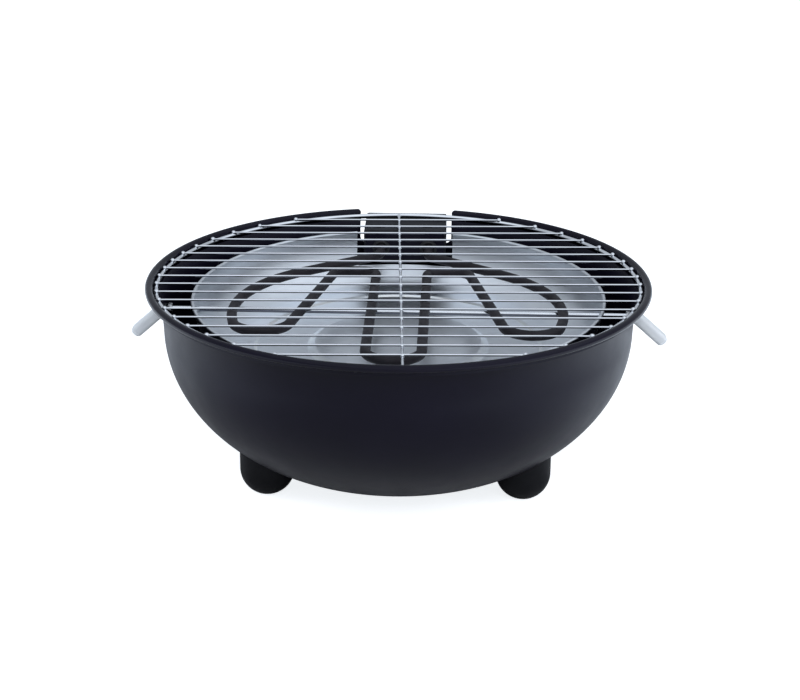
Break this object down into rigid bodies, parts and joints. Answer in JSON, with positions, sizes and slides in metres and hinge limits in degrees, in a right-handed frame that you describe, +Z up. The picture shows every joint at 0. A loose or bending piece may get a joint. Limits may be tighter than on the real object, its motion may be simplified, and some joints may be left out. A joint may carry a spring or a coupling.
{
  "type": "table-top electric grill",
  "caption": "Round bowl-shaped electric grill on short ball feet, with a wire grate, a looped heating tube over a drip pan, side grips and a lift-out control box.",
  "frame": {"origin": "centre of the bounding box's underside, on the surface the feet stand on", "axes": "+Z up, -Y the front, +Y the back with the control box, +X the right side seen from the front"},
  "size_m": [0.3756, 0.3908, 0.1402],
  "materials": {
    "black_enamel": "semi-gloss black enamel",
    "chrome": "bright plated wire",
    "brushed_aluminium": "bright satin sheet",
    "element_steel": "dark oxidised tube, matt",
    "black_plastic": "black moulded, slightly textured",
    "silver_plastic": "light silver grey moulded",
    "zinc_steel": "zinc plated",
    "white_ceramic": "unglazed off-white ceramic",
    "red_lens": "red translucent lens"
  },
  "bodies": {
    "base": {"bowl": "black_enamel", "foot_left": "black_plastic", "foot_right": "black_plastic", "foot_back": "black_plastic", "foot_screw_left": "zinc_steel", "foot_screw_right": "zinc_steel", "foot_screw_back": "zinc_steel", "support_rod": "chrome", "rod_nut_left": "zinc_steel", "rod_nut_right": "zinc_steel", "left_handle": "silver_plastic", "right_handle": "silver_plastic", "reflector_pan": "brushed_aluminium"},
    "element_unit": {"heating_element": "element_steel", "terminal_pin_left": "zinc_steel", "terminal_pin_right": "zinc_steel", "tube_seal_left": "black_plastic", "tube_seal_right": "black_plastic", "face_plate": "black_enamel", "control_housing": "black_plastic", "control_cover": "black_plastic", "cover_screw_lower_left": "zinc_steel", "cover_screw_lower_right": "zinc_steel", "cover_screw_upper_left": "zinc_steel", "cover_screw_upper_right": "zinc_steel", "terminal_block": "white_ceramic", "thermostat": "white_ceramic", "indicator_lens": "red_lens", "indicator_lamp": "white_ceramic", "cord_gland": "black_plastic"},
    "knob": {"temperature_knob": "black_plastic", "knob_shaft": "zinc_steel"},
    "grate": {"wire_grate": "chrome"}
  },
  "joints": [
    {"name": "element_lift", "type": "slide", "parent": "base", "child": "element_unit", "axis": [0, 0, 1], "range_m": [0, 0.12]},
    {"name": "knob_turn", "type": "hinge", "parent": "element_unit", "child": "knob", "pos_m": [0, 0.1814, 0.09004], "axis": [0, -1, 0], "range_deg": [0, 270]},
    {"name": "grate_lift", "type": "slide", "parent": "element_unit", "child": "grate", "axis": [0, 0, 1], "range_m": [0, 0.15]}
  ]
}
